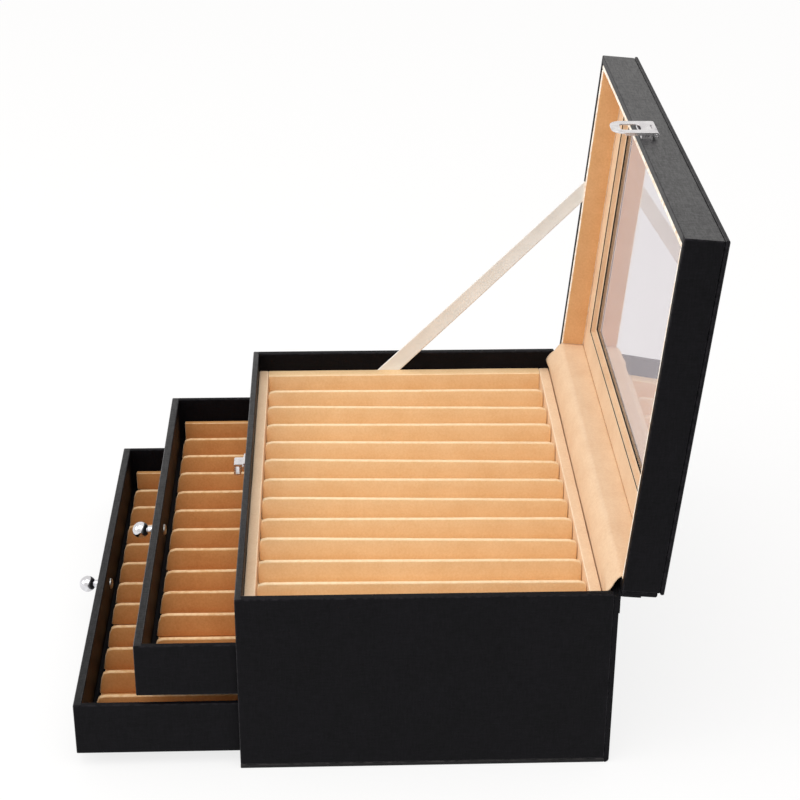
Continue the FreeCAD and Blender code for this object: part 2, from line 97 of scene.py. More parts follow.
class Finish:
    # a material with one principled shader; put() adds any other node

    def __init__(self, name, **constants):
        self.material = bpy.data.materials.new(name)
        self.material.use_nodes = True
        self.tree = self.material.node_tree
        self.surface = next(n for n in self.tree.nodes if n.type == "BSDF_PRINCIPLED")
        self.output = next(n for n in self.tree.nodes if n.type == "OUTPUT_MATERIAL")
        self.wear(**constants)

    def put(self, kind, settings=None, inputs=None, out=0):
        return Wire(self, addNode(self.tree, kind, settings, inputs)[out])

    def place(self, stretch=(1, 1, 1)):
        where = self.put("ShaderNodeTexCoord", out="Object")
        return self.put("ShaderNodeMapping", {}, {"Vector": where, "Scale": stretch})

    def grain(self, where, scale, detail=2.0, rough=0.5):
        inputs = {"Vector": where, "Scale": scale, "Detail": detail, "Roughness": rough}
        return self.put("ShaderNodeTexNoise", {}, inputs)

    def within(self, value, low, high, least=0.0, most=1.0):
        inputs = {"Value": value, "From Min": low, "From Max": high, "To Min": least, "To Max": most}
        return self.put("ShaderNodeMapRange", {"clamp": True}, inputs)

    def tint(self, factor, first, second):
        settings = {"data_type": "RGBA", "blend_type": "MIX"}
        return self.put("ShaderNodeMix", settings, {0: factor, 6: first, 7: second}, out=2)

    def reshaped(self, operation, value):
        return self.put("ShaderNodeMath", {"operation": operation}, {0: value})

    def wearAndHighlight(self):
        # the marks: wear on leather, paper and metal, and on cloth a paler edge that is partly painted
        # highlight
        return self.put("ShaderNodeAttribute", {"attribute_name": "wear"}, out="Fac")

    def bump(self, height, strength, distance, under=None):
        inputs = {"Height": height, "Strength": strength, "Distance": distance}
        if under:
            inputs["Normal"] = under
        return self.put("ShaderNodeBump", {}, inputs)

    def wear(self, **sockets):
        # sets or links sockets of the principled shader
        for name, value in sockets.items():
            feed(self.tree, self.surface.inputs[name.replace("_", " ")], value)
        return self.material


def rgb(red, green, blue):
    # a colour in steps of 0 to 255, made linear
    def linear(part):
        part = part / 255
        return part / 12.92 if part <= 0.04045 else ((part + 0.055) / 1.055) ** 2.4

    return (linear(red), linear(green), linear(blue), 1.0)


# finishes; a Part is the stretch of a noise that counts, a Bump is a strength and a depth

broad = (0.3, 0.7)

leatherLook = {
    "dark": rgb(4, 4, 6),
    "light": rgb(16, 15, 19),
    "weavePart": (0.36, 0.62),
    "rubbed": rgb(58, 54, 60),
    "rubbing": 0.2,
    "rubScale": 330,
    "rubPart": (0.4, 0.62),
    "threadScale": 1150,
    "threadShare": 0.75,
    "threadBump": (0.75, 0.25 * mm),
    "streak": 0.14,
    "mottleScale": 38,
    "creaseScale": 90,
    "creaseBump": (0.12, 0.4 * mm),
    "roughness": 0.56,
    "roughSpread": (-0.04, 0.06),
    "rubSmooth": 0.08,
    "gloss": 1.0,
    "flatPart": (0.3, 0.62),
    "glint": (0.42, 0.58, 0.68, 1.1),
}


def leatherFinish(name, **changes):
    # linen grain: fine streaks along all three directions, glossier at a flat angle
    look = {**leatherLook, **changes}
    finish = Finish(name, Specular_IOR_Level=0.09, Coat_Roughness=0.42, Coat_IOR=1.5)
    where = finish.place()
    mottle = finish.grain(where, look["mottleScale"], 3)
    streak = look["streak"]
    threads = [finish.grain(finish.place(stretch), look["threadScale"], 1)
               for stretch in ((streak, 1, 1), (1, streak, 1), (1, 1, streak))]
    linen = (threads[0] + threads[1] + threads[2]) / 3
    rubbed = finish.wearAndHighlight() * finish.within(finish.grain(where, look["rubScale"], 3), *look["rubPart"])
    weave = linen * look["threadShare"] + mottle * (1 - look["threadShare"])
    leather = finish.tint(finish.within(weave, *look["weavePart"]), look["dark"], look["light"])
    colour = finish.tint(rubbed * look["rubbing"], leather, look["rubbed"])
    roughness = look["roughness"] + finish.within(mottle, *broad, *look["roughSpread"])
    roughness -= rubbed * look["rubSmooth"]
    facing = finish.put("ShaderNodeLayerWeight", {}, {"Blend": 0.5}, out="Facing")
    flat = finish.within(facing, *look["flatPart"]) * finish.within(linen, *look["glint"]) * look["gloss"]
    creases = finish.bump(finish.grain(where, look["creaseScale"], 2), *look["creaseBump"])
    relief = finish.bump(linen, *look["threadBump"], creases)
    return finish.wear(Base_Color=colour, Roughness=roughness, Coat_Weight=flat, Normal=relief)


suedeLook = {
    "base": rgb(237, 208, 175),
    "shade": rgb(226, 192, 157),
    "pilePart": (0.38, 0.62),
    "pale": rgb(250, 231, 206),
    "paling": 0.6,
    "edgeScale": 300,
    "edgePart": (0.1, 0.6),
    "cloudScale": 55,
    "brushScale": 760,
    "napScale": 2600,
    "pileMix": (0.45, 0.35, 0.2),
    "napBump": (0.4, 0.18 * mm),
    "softScale": 70,
    "softBump": (0.1, 0.5 * mm),
    "roughness": 0.86,
    "roughSpread": (-0.05, 0.09),
    "sheen": rgb(255, 236, 214),
}


def suedeFinish(name, **changes):
    # brushed cloth, paler where it is marked: partly the backing at cut edges, partly a painted highlight on
    # lit tops and rims
    look = {**suedeLook, **changes}
    finish = Finish(
        name, Specular_IOR_Level=0.12, Sheen_Weight=0.12, Sheen_Roughness=0.5, Sheen_Tint=look["sheen"])
    where = finish.place()
    cloud = finish.grain(where, look["cloudScale"], 4, 0.6)
    nap = finish.grain(where, look["napScale"], 2, 0.7)
    brushed = finish.grain(where, look["brushScale"], 2)
    edge = finish.wearAndHighlight() * finish.within(finish.grain(where, look["edgeScale"], 2), *look["edgePart"])
    pile = cloud * look["pileMix"][0] + brushed * look["pileMix"][1] + nap * look["pileMix"][2]
    flock = finish.tint(finish.within(pile, *look["pilePart"]), look["shade"], look["base"])
    colour = finish.tint(edge * look["paling"], flock, look["pale"])
    roughness = look["roughness"] + finish.within(nap, *broad, *look["roughSpread"])
    soft = finish.bump(finish.grain(where, look["softScale"], 2), *look["softBump"])
    relief = finish.bump(nap * 0.5 + brushed * 0.5, *look["napBump"], soft)
    return finish.wear(Base_Color=colour, Roughness=roughness, Normal=relief)


paperLook = {
    "dark": rgb(12, 12, 13),
    "light": rgb(24, 23, 25),
    "scuffed": rgb(70, 66, 66),
    "scuffing": 0.5,
    "scuffScale": 200,
    "scuffPart": (0.4, 0.65),
    "mottleScale": 45,
    "fibreScale": 700,
    "fibreBump": (0.2, 0.1 * mm),
    "roughness": 0.62,
    "mottleRough": 0.12,
}


def paperFinish(name):
    # the smooth dark paper under the base; the same finish is painted shadow inside the lid's joints
    look = paperLook
    finish = Finish(name, Specular_IOR_Level=0.25)
    where = finish.place()
    fibre = finish.grain(where, look["fibreScale"], 3)
    mottle = finish.grain(where, look["mottleScale"], 3)
    scuffed = finish.wearAndHighlight() * finish.within(finish.grain(where, look["scuffScale"], 2), *look["scuffPart"])
    plain = finish.tint(finish.within(mottle, *broad), look["dark"], look["light"])
    colour = finish.tint(scuffed * look["scuffing"], plain, look["scuffed"])
    relief = finish.bump(fibre, *look["fibreBump"])
    roughness = look["roughness"] + mottle * look["mottleRough"]
    return finish.wear(Base_Color=colour, Roughness=roughness, Normal=relief)


satinLook = {
    "base": rgb(235, 236, 231),
    "light": rgb(244, 245, 241),
    "cloudScale": 60,
    "edge": rgb(255, 255, 255),
    "paling": 0.6,
    "edgeFrom": 4.6 * mm,
    "edgeTo": 5.1 * mm,
    "threadStep": 0.34 * mm,
    "ribStep": 0.42 * mm,
    "weaveRise": 0.3,
    "weaveBump": (0.35, 0.06 * mm),
    "roughness": 0.42,
    "ribRough": 0.04,
    "cloudRough": 0.1,
}


def satinFinish(name):
    # fine threads along the ribbon, ribs across it and a woven edge
    look = satinLook
    finish = Finish(name, Specular_IOR_Level=0.35, Sheen_Weight=0.15, Sheen_Roughness=0.35)
    uv = finish.put("ShaderNodeUVMap", {"uv_map": "cloth"})
    across = finish.put("ShaderNodeSeparateXYZ", {}, {0: uv}, out="X")
    along = finish.put("ShaderNodeSeparateXYZ", {}, {0: uv}, out="Y")
    threads = finish.reshaped("SINE", across * (math.tau / look["threadStep"]))
    ribs = finish.reshaped("SINE", along * (math.tau / look["ribStep"]))
    selvedge = finish.within(finish.reshaped("ABSOLUTE", across), look["edgeFrom"], look["edgeTo"])
    cloud = finish.grain(finish.place(), look["cloudScale"], 3)
    plain = finish.tint(finish.within(cloud, *broad), look["base"], look["light"])
    colour = finish.tint(selvedge * look["paling"], plain, look["edge"])
    rise = look["weaveRise"]
    weave = finish.bump(threads * rise + ribs * rise + selvedge, *look["weaveBump"])
    roughness = look["roughness"] + ribs * look["ribRough"] + cloud * look["cloudRough"]
    return finish.wear(Base_Color=colour, Roughness=roughness, Normal=weave)


chromeLook = {
    "bright": rgb(232, 232, 236),
    "dull": rgb(205, 203, 206),
    "roughness": 0.07,
    "edgeSmooth": 0.02,
    "spread": 0.14,
    "smudgeScale": 240,
    "smudgePart": (0.35, 0.7),
    "pitScale": 900,
    "pitBump": (0.02, 0.04 * mm),
}


def metalFinish(name, **changes):
    # smudged plating with fine pits, smoother along its edges
    look = {**chromeLook, **changes}
    finish = Finish(name, Specular_IOR_Level=0.5)
    where = finish.place()
    smudge = finish.within(finish.grain(where, look["smudgeScale"], 3), *look["smudgePart"])
    shade = finish.tint(smudge, look["bright"], look["dull"])
    roughness = look["roughness"] + smudge * look["spread"] - finish.wearAndHighlight() * look["edgeSmooth"]
    relief = finish.bump(finish.grain(where, look["pitScale"], 2), *look["pitBump"])
    return finish.wear(Base_Color=shade, Metallic=1.0, Roughness=roughness, Normal=relief)


glassLook = {
    "tint": rgb(215, 207, 211),
    "pale": rgb(218, 211, 214),
    "hazeScale": 30,
    "hazePart": (0.4, 0.8),
    "roughness": (0.01, 0.05),
}


def glassFinish(name):
    finish = Finish(name, IOR=1.46, Transmission_Weight=1.0)
    haze = finish.grain(finish.place(), glassLook["hazeScale"], 3)
    colour = finish.tint(finish.within(haze, *broad), glassLook["tint"], glassLook["pale"])
    roughness = finish.within(haze, *glassLook["hazePart"], *glassLook["roughness"])
    return finish.wear(Base_Color=colour, Roughness=roughness)


leather = leatherFinish("black leatherette")
dullLeather = leatherFinish("dull black leatherette", gloss=0.06)
edgeLeather = leatherFinish("black leatherette edge", gloss=0.35)
rimLeather = leatherFinish("black leatherette rim", gloss=0.5)
suede = suedeFinish("beige suede")
# painted light: a brighter, warmer copy of the beige suede, for the light and bounce that reach into the
# tray's slots
traySuedePaintedLight = suedeFinish(
    "beige suede, tray, painted light",
    base=rgb(245, 211, 165), shade=rgb(235, 197, 147), pale=rgb(254, 234, 202), paling=0.5,
)
# painted shade and highlight: a deeper copy of the beige suede for the shaded inside of the lid, with a near
# white pale along its lit rims
liningSuedePaintedShadeAndHighlight = suedeFinish(
    "beige suede, lid lining, painted shade and highlight",
    base=rgb(230, 184, 134), shade=rgb(216, 167, 116), pale=rgb(255, 250, 240), paling=1.0,
)
# painted shade: a deeper, more orange copy of the beige suede for the shade and bounce light in the drawers;
# its pale is a painted highlight on the cards' tops
drawerSuedePaintedShade = suedeFinish(
    "beige suede, drawers, painted shade",
    base=rgb(229, 169, 107), shade=rgb(214, 151, 90), pale=rgb(251, 213, 166), paling=0.9,
)
paper = paperFinish("base paper")
# painted shadow: the dark paper finish, put in the window's joints where shade falls
paintedShadowCard = paperFinish("painted shadow card")
satin = satinFinish("cream satin ribbon")
chrome = metalFinish("polished chrome")
nickel = metalFinish("satin nickel", bright=rgb(238, 236, 237), dull=rgb(212, 209, 212), roughness=0.2)
zinc = metalFinish(
    "zinc plated steel",
    bright=rgb(205, 205, 202), dull=rgb(168, 165, 158), roughness=0.26, spread=0.2, pitScale=1500,
)
glass = glassFinish("window glass")
print("finishes made")

# mesh helpers

edgeAngles = {"board": 40, "solid": 35, "shaded": 44, "turned": 50}  # degrees past which an edge counts
weld, flatWithin = 0.002 * mm, 1  # corners closer than this are one, and so are faces within a degree
tilt = {"rim": 0.3, "front": 0.5, "top": 0.7, "edge": 0.75}  # how far a face has to look one way
uneven = {"boardScale": 45, "seedShare": 0.7, "boardLayer": 3.1, "across": 18, "along": 60, "clothLayer": 5.0}
square = ((0, 0), (1, 0), (1, 1), (0, 1))
roundSteps = (0, 0.3, 0.65)


def asObject(name, bm, *finishes):
    mesh = bpy.data.meshes.new(name)
    bm.to_mesh(mesh)
    bm.free()
    mesh.polygons.foreach_set("use_smooth", [True] * len(mesh.polygons))
    for finish in finishes:
        mesh.materials.append(finish)
    thing = bpy.data.objects.new(name, mesh)
    bpy.context.scene.collection.objects.link(thing)
    return thing


def dress(thing, body, slot, *nodes):
    # the finished piece rides its body and stands for its nodes
    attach(thing, body)
    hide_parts(*nodes)


def dressSheet(thing, node):
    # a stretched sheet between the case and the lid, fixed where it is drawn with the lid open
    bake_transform(thing)
    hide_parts(node)


def settle(thing):
    # turns modifiers into plain mesh
    scene = bpy.context.evaluated_depsgraph_get()
    scene.update()
    mesh = bpy.data.meshes.new_from_object(thing.evaluated_get(scene))
    thing.modifiers.clear()
    thing.data = mesh


def asBoard(name, bm, *finishes):
    # its shading follows the large faces
    thing = asObject(name, bm, *finishes)
    keep = thing.modifiers.new("even normals", "WEIGHTED_NORMAL")
    keep.keep_sharp = True
    keep.weight = 80
    return thing


def turnsPast(edge, degrees):
    return len(edge.link_faces) == 2 and edge.calc_face_angle(0) > math.radians(degrees)


def crispEdges(bm, degrees):
    for edge in bm.edges:
        edge.smooth = not turnsPast(edge, degrees)


def ease(bm, width, segments, least):
    # rounds the outside edges and marks them, for wear, and on cloth for a paler edge that is partly painted
    # highlight; inside corners stay crisp
    bm.normal_update()
    rounded = [edge for edge in bm.edges if edge.is_convex and turnsPast(edge, least)]
    made = bmesh.ops.bevel(
        bm, geom=rounded, offset=width, offset_type="OFFSET", segments=segments,
        profile=0.5, affect="EDGES", clamp_overlap=True,
    )
    layer = bm.loops.layers.float.get("wear") or bm.loops.layers.float.new("wear")
    for face in made["faces"]:
        for loop in face.loops:
            loop[layer] = 1.0
    bm.normal_update()
    crispEdges(bm, edgeAngles["shaded"])


def markPaintedHighlight(thing, shows):
    # marks the faces whose normal says so, to come out paler as a painted highlight
    marks = thing.data.attributes["wear"].data
    for face in thing.data.polygons:
        for corner in face.loop_indices if shows(face.normal) else ():
            marks[corner].value = 1.0


def fusedBoards(name, boards, width, finishes, pick, segments=3):
    # one wrapped shell from boards that meet: every cell that a board fills is solid;
    # pick gives the number of the finish that a face wears
    cuts = [sorted({round(corner[axis], 6) for board in boards for corner in board}) for axis in range(3)]
    counts = [len(cut) - 1 for cut in cuts]
    bm = bmesh.new()
    corners = {}

    def filled(cell):
        if any(not 0 <= number < count for number, count in zip(cell, counts)):
            return False
        middle = [(cut[number] + cut[number + 1]) / 2 for cut, number in zip(cuts, cell)]
        return any(all(low[axis] < middle[axis] < high[axis] for axis in range(3)) for low, high in boards)

    def corner(key):
        if key not in corners:
            corners[key] = bm.verts.new([cut[number] for cut, number in zip(cuts, key)])
        return corners[key]

    for cell in filter(filled, itertools.product(*map(range, counts))):
        for axis, step in itertools.product(range(3), (0, 1)):
            beside = list(cell)
            beside[axis] += 1 if step else -1
            if filled(beside):
                continue
            loop = []
            for a, b in square:
                key = list(cell)
                key[axis] += step
                key[(axis + 1) % 3] += a
                key[(axis + 2) % 3] += b
                loop.append(corner(tuple(key)))
            bm.faces.new(loop if step else loop[::-1])
    ease(bm, width, segments, edgeAngles["board"])
    for face in bm.faces:
        face.material_index = int(pick(face.calc_center_median(), face.normal))
    return asBoard(name, bm, *finishes)


def softBoard(name, low, high, width, finish, step=9 * mm, waver=0.12 * mm, seed=0.0):
    # a cloth covered board: a dense block whose edges are rounded, with a slight unevenness
    bends = [min(width, (high[axis] - low[axis]) / 2.001) for axis in range(3)]  # less than half
    rows = []
    for start, end, bend in zip(low, high, bends):
        level = end - start - 2 * bend
        inner = max(1, round(level / step))
        ends = [bend * part for part in roundSteps]
        middle = [bend + level * n / inner for n in range(inner + 1)]
        rows.append([start + d for d in ends + middle] + [end - d for d in reversed(ends)])
    own = Vector((seed, seed * uneven["seedShare"], uneven["boardLayer"]))
    bm = bmesh.new()
    made = {}

    def vertex(key):
        if key not in made:
            point = Vector([row[number] for row, number in zip(rows, key)])
            core = Vector([min(max(point[n], low[n] + bends[n]), high[n] - bends[n]) for n in range(3)])
            out = point - core
            if out.length > 1e-9:
                point = core + out / out.length * max(abs(part) for part in out)
            drift = noise.noise_vector(point * uneven["boardScale"] + own) * waver
            made[key] = bm.verts.new(point + drift)
        return made[key]

    last = [len(row) - 1 for row in rows]
    layer = bm.loops.layers.float.new("wear")
    for axis in range(3):
        first, second = (axis + 1) % 3, (axis + 2) % 3
        for end, a, b in itertools.product((0, last[axis]), range(last[first]), range(last[second])):
            loop = []
            for aStep, bStep in square:
                key = [0, 0, 0]
                key[axis], key[first], key[second] = end, a + aStep, b + bStep
                loop.append(vertex(tuple(key)))
            face = bm.faces.new(loop if end else loop[::-1])
            # the rows near its edges are marked and come out paler: partly the backing, partly a painted
            # highlight
            nearEdge = a < 2 or b < 2 or a > last[first] - 3 or b > last[second] - 3
            for corner in face.loops:
                corner[layer] = 1.0 if nearEdge else 0.0
    return asObject(name, bm, finish)


def centred(low, high, y):
    # the middle of a box as seen from the front, at the given depth
    return Vector(((low.x + high.x) / 2, y, (low.z + high.z) / 2))


def lathe(name, profile, centre, finish, turns=48):
    # a turned piece; profile gives (distance out of the front, radius), and a radius of 0 closes it
    bm = bmesh.new()
    rings = []
    for reach, radius in profile:
        angles = [math.tau * n / turns for n in range(turns if radius else 1)]
        around = [Vector((radius * math.cos(angle), -reach, radius * math.sin(angle))) for angle in angles]
        rings.append([bm.verts.new(centre + place) for place in around])
    for one, two in zip(rings, rings[1:]):
        for n in range(turns):
            m = (n + 1) % turns
            loop = [one[n % len(one)], one[m % len(one)], two[m % len(two)], two[n % len(two)]]
            loop = list(dict.fromkeys(loop))
            if len(loop) > 2:
                bm.faces.new(loop)
    bmesh.ops.recalc_face_normals(bm, faces=bm.faces)
    crispEdges(bm, edgeAngles["turned"])
    return asObject(name, bm, finish)


def easedCopy(name, node, width, finish, segments=3):
    # a CAD solid with its edges rounded
    bm = bmesh.new()
    bm.from_mesh(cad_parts[node].data)
    bmesh.ops.remove_doubles(bm, verts=bm.verts, dist=weld)
    bmesh.ops.dissolve_limit(bm, angle_limit=math.radians(flatWithin), verts=bm.verts, edges=bm.edges)
    ease(bm, width, segments, edgeAngles["solid"])
    return asBoard(name, bm, finish)


def rowTree():
    # copies of the given shape along a line, centred on it, each leaning a little its own way
    tree = bpy.data.node_groups.new("even row", "GeometryNodeTree")
    kinds = {
        "Shape": "Geometry", "Count": "Int", "Step": "Vector",
        "Lean": "Float", "Seed": "Int", "Finish": "Material",
    }
    for name, kind in kinds.items():
        tree.interface.new_socket(name, in_out="INPUT", socket_type="NodeSocket" + kind)
    tree.interface.new_socket("Shape", in_out="OUTPUT", socket_type="NodeSocketGeometry")

    def put(kind, settings=None, inputs=None):
        return addNode(tree, kind, settings, inputs)[0]

    given = addNode(tree, "NodeGroupInput")
    step, lean = given["Step"], given["Lean"]
    # half of the gaps between the copies lie on either side
    halfway = put("ShaderNodeMath", {"operation": "MULTIPLY_ADD"}, {0: given["Count"], 1: -0.5, 2: 0.5})
    start = put("ShaderNodeVectorMath", {"operation": "SCALE"}, {0: step, "Scale": halfway})
    inputs = {"Count": given["Count"], "Start Location": start, "Offset": step}
    line = put("GeometryNodeMeshLine", {"mode": "OFFSET"}, inputs)
    least, most = [
        put("ShaderNodeVectorMath", {"operation": "SCALE"}, {0: (way, way, way), "Scale": lean})
        for way in (-1, 1)
    ]
    inputs = {0: least, 1: most, "Seed": given["Seed"]}
    turn = put("FunctionNodeRandomValue", {"data_type": "FLOAT_VECTOR"}, inputs)
    inputs = {"Points": line, "Instance": given["Shape"], "Rotation": turn}
    copies = put("GeometryNodeInstanceOnPoints", {}, inputs)
    real = put("GeometryNodeRealizeInstances", {}, {"Geometry": copies})
    dressed = put("GeometryNodeSetMaterial", {}, {"Geometry": real, "Material": given["Finish"]})
    addNode(tree, "NodeGroupOutput", {}, {"Shape": dressed})
    return tree


evenRow = rowTree()


def repeat(thing, count, step, lean, seed, finish):
    # the shape is turned about its own middle, so it is moved to the origin and back
    places = [[vertex.co[axis] for vertex in thing.data.vertices] for axis in range(3)]
    middle = Vector([(min(place) + max(place)) / 2 for place in places])
    thing.data.transform(Matrix.Translation(-middle))
    row = thing.modifiers.new("row", "NODES")
    row.node_group = evenRow
    values = {"Count": count, "Step": step, "Lean": lean, "Seed": seed, "Finish": finish}
    for item in evenRow.interface.items_tree:
        if item.in_out == "INPUT" and item.name in values:
            row[item.identifier] = values[item.name]
    settle(thing)
    thing.data.transform(Matrix.Translation(middle))
    return thing


def evenly(low, high, count):
    return [low + (high - low) * n / count for n in range(count + 1)]


def closedSheet(name, sides, flat, finish):
    # a thin shell between two grids of points; flat says where each point lies on the cut cloth
    bm = bmesh.new()
    layer = bm.loops.layers.uv.new("cloth")
    bm.loops.layers.float.new("wear")
    grids = [[[bm.verts.new(point) for point in line] for line in side] for side in sides]
    rows, columns = len(flat) - 1, len(flat[0]) - 1

    def quad(spots, turned):
        spots = spots[::-1] if turned else spots
        face = bm.faces.new([grids[side][b][a] for side, b, a in spots])
        for loop, (side, b, a) in zip(face.loops, spots):
            loop[layer].uv = flat[b][a]

    for side, b, a in itertools.product((0, 1), range(rows), range(columns)):
        quad([(side, b, a), (side, b, a + 1), (side, b + 1, a + 1), (side, b + 1, a)], not side)
    for b, a in itertools.product(range(rows), (0, columns)):
        quad([(0, b, a), (0, b + 1, a), (1, b + 1, a), (1, b, a)], a > 0)
    for a, b in itertools.product(range(columns), (0, rows)):
        quad([(0, b, a), (0, b, a + 1), (1, b, a + 1), (1, b, a)], b > 0)
    bmesh.ops.recalc_face_normals(bm, faces=bm.faces)
    return asObject(name, bm, finish)


def clothStrip(name, piece, path, sides, finish, ripple=0.0, narrow=lambda z: 1, push=lambda x, z: 0):
    # the path in the YZ plane gives its run, sides the two faces off the path;
    # narrow gives a share of the width, push a way forward
    xs = evenly(-piece["half"] * mm, piece["half"] * mm, piece["columns"])
    lengths = [0.0]
    for one, two in zip(path, path[1:]):
        lengths.append(lengths[-1] + math.dist(one, two))

    def line(number, side):
        y, z = path[number]
        run = Vector(path[min(number + 1, len(path) - 1)]) - Vector(path[max(number - 1, 0)])
        run.normalize()
        normal = Vector((0, -run[1], run[0]))
        points = []
        for x in xs:
            spot = Vector((x * uneven["across"], lengths[number] * uneven["along"], uneven["clothLayer"]))
            lift = noise.noise(spot) * ripple + push(x, z) + side
            points.append(Vector((x * narrow(z), y, z)) + normal * lift)
        return points

    grids = [[line(number, side) for number in range(len(path))] for side in sides]
    flat = [[(x, length) for x in xs] for length in lengths]
    return closedSheet(name, grids, flat, finish), lengths[-1]


def smoothPath(points, count):
    # a smooth run through the points, in even steps
    curve = bpy.data.curves.new("run", "CURVE")
    curve.dimensions = "3D"
    spline = curve.splines.new("BEZIER")
    spline.bezier_points.add(len(points) - 1)
    for knot, (y, z) in zip(spline.bezier_points, points):
        knot.co = (0, y, z)
        knot.handle_left_type = knot.handle_right_type = "AUTO"
    spline.resolution_u = 24
    holder = bpy.data.objects.new("run", curve)
    mesh = bpy.data.meshes.new_from_object(holder)
    dense = [Vector(vertex.co) for vertex in mesh.vertices]
    bpy.data.objects.remove(holder)
    bpy.data.curves.remove(curve)
    bpy.data.meshes.remove(mesh)
    total = sum((two - one).length for one, two in zip(dense, dense[1:]))
    run, walked, target = [tuple(dense[0].yz)], 0.0, total / count
    for one, two in zip(dense, dense[1:]):
        length = (two - one).length
        while walked + length >= target and len(run) < count:
            run.append(tuple(one.lerp(two, (target - walked) / length).yz))
            target += total / count
        walked += length
    run.append(tuple(dense[-1].yz))
    return run


# case

caseShell = {
    "nodes": (
        "end_wall_left", "end_wall_right", "back_wall", "front_rail",
        "base_board", "drawer_shelf", "tray_floor",
    ),
    "edgeRound": 0.75 * mm,
    "frontInside": -98.6 * mm,
    "backInside": 100.3 * mm,
    "endInside": 150.4 * mm,
    "slack": 0.2 * mm,
    "coverRound": 0.5 * mm,
}


def caseBoards():
    # the front wall and the back wall are thinner on the inside than their solids
    boards = {node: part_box(node) for node in caseShell["nodes"]}
    low, high = boards["front_rail"]
    boards["front_rail"] = (low, (high.x, caseShell["frontInside"], high.z))
    low, high = boards["back_wall"]
    boards["back_wall"] = ((low.x, caseShell["backInside"], low.z), high)
    return list(boards.values())


def onEndRim(centre, normal):
    # the upper edges of the end walls and the inside of the front shine less
    inside, slack = caseShell["frontInside"], caseShell["slack"]
    atEnd = abs(centre.x) > caseShell["endInside"] - slack / 2 and centre.y > inside
    return (atEnd and normal.z > tilt["rim"]) or (normal.y > tilt["front"] and centre.y < inside + slack)


shell = fusedBoards("case_shell", caseBoards(), caseShell["edgeRound"], (leather, dullLeather), onEndRim)
dress(shell, "case", "black_leatherette", *caseShell["nodes"])
covers = {"base_cover": (paper, "board_paper"), "back_cover": (leather, "black_leatherette")}
for node, (finish, slot) in covers.items():
    dress(easedCopy(node + "_board", node, caseShell["coverRound"], finish), "case", slot, node)
print("case made")

# slotted inserts

insert = {
    "edgeRound": 0.8 * mm,
    "felt": 0.35 * mm,
    "slots": 12,
    "pitch": 23.8 * mm,
    "front": -92.0 * mm,
    "back": 92.0 * mm,
    "frontGap": 0.4 * mm,
    "backGap": 0.2 * mm,
    "wallGap": 0.05 * mm,
    "seam": 98.8 * mm,
}
card = {
    "thick": 2.6 * mm,
    "foot": 1.0,  # share of its thickness that the foot adds
    "edgeRound": 0.75 * mm,
    "cornerRound": 3.8 * mm,
    "slant": 2.2 * mm,
    "slantRun": 14 * mm,
    "lean": 0.005,
    "step": 4 * mm,
    "waver": 0.1 * mm,
    "fanLeast": 2.2 * mm,
    "fanMost": 4.4 * mm,
}


def roundCorner(place, end, way, top):
    # moves a point of a card's square upper corner on to a round one
    reach = card["cornerRound"]
    inY = (end + way * reach - place.y) * way
    inZ = place.z - (top - reach)
    if inY > 0 and inZ > 0:
        share = max(inY, inZ) / math.hypot(inY, inZ)
        place.y = end + way * (reach - inY * share)
        place.z = top - reach + inZ * share


def dividerRow(name, low, high, seed, finish, slant=0.0):
    # one soft card with round upper corners and slanting ends, then the row of them
    middle, half = (low.x + high.x) / 2, card["thick"] / 2
    row = softBoard(
        name, Vector((middle - half, low.y, low.z)), Vector((middle + half, high.y, high.z)),
        card["edgeRound"], finish, card["step"], card["waver"], seed,
    )
    for vertex in row.data.vertices:
        place = vertex.co
        down = (high.z - place.z) / (high.z - low.z)
        place.x = middle + (place.x - middle) * (1 + card["foot"] * down)
        roundCorner(place, low.y, 1, high.z)
        roundCorner(place, high.y, -1, high.z)
        up = (place.z - low.z) / (high.z - low.z) - 0.5
        ahead, behind = place.y - low.y, high.y - place.y
        near = max(0, 1 - min(ahead, behind) / card["slantRun"])
        place.y += slant * up * near * (1 if ahead < behind else -1)
    # painted highlight: the cards' top faces are marked, so they come out paler as if lit from above
    markPaintedHighlight(row, lambda normal: normal.z > tilt["top"])
    return repeat(row, insert["slots"] - 1, (insert["pitch"], 0, 0), card["lean"], seed, finish)


def thinPad(node):
    # the cloth on the floor of the slots is thin, so the dividers stand deeper
    low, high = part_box(node)
    return low, Vector((high.x, high.y, low.z + insert["felt"]))


padFront, padBack = insert["front"] - insert["frontGap"], insert["back"] + insert["backGap"]
trayRuns = {
    "tray_pad": (padFront, padBack, traySuedePaintedLight),
    "tray_left_strip": (padFront, padBack, traySuedePaintedLight),
    "tray_right_strip": (padFront, padBack, traySuedePaintedLight),
    "tray_front_strip": (caseShell["frontInside"] + insert["wallGap"], padFront, suede),
    "tray_back_strip": (padBack, insert["seam"], suede),
}
for number, (node, (front, back, finish)) in enumerate(trayRuns.items()):
    low, high = thinPad(node) if node == "tray_pad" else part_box(node)
    low, high = Vector((low.x, front, low.z)), Vector((high.x, back, high.z))
    piece = softBoard(node + "_suede", low, high, insert["edgeRound"], finish, seed=number * 2.7)
    dress(piece, "case", "beige_suede", node)

low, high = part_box("tray_dividers")
low = Vector((low.x, insert["front"], thinPad("tray_pad")[1].z))
row = dividerRow("tray_divider_row", low, Vector((high.x, insert["back"], high.z)), 4, traySuedePaintedLight)
for vertex in row.data.vertices:
    # the soft cards stand a little askew, most of all in the middle of the tray
    behind = (vertex.co.y - insert["front"]) / (insert["back"] - insert["front"])
    middleness = math.cos(math.pi / 2 * vertex.co.x / high.x)
    vertex.co.x += behind * (card["fanLeast"] + card["fanMost"] * middleness)
dress(row, "case", "beige_suede", "tray_dividers")

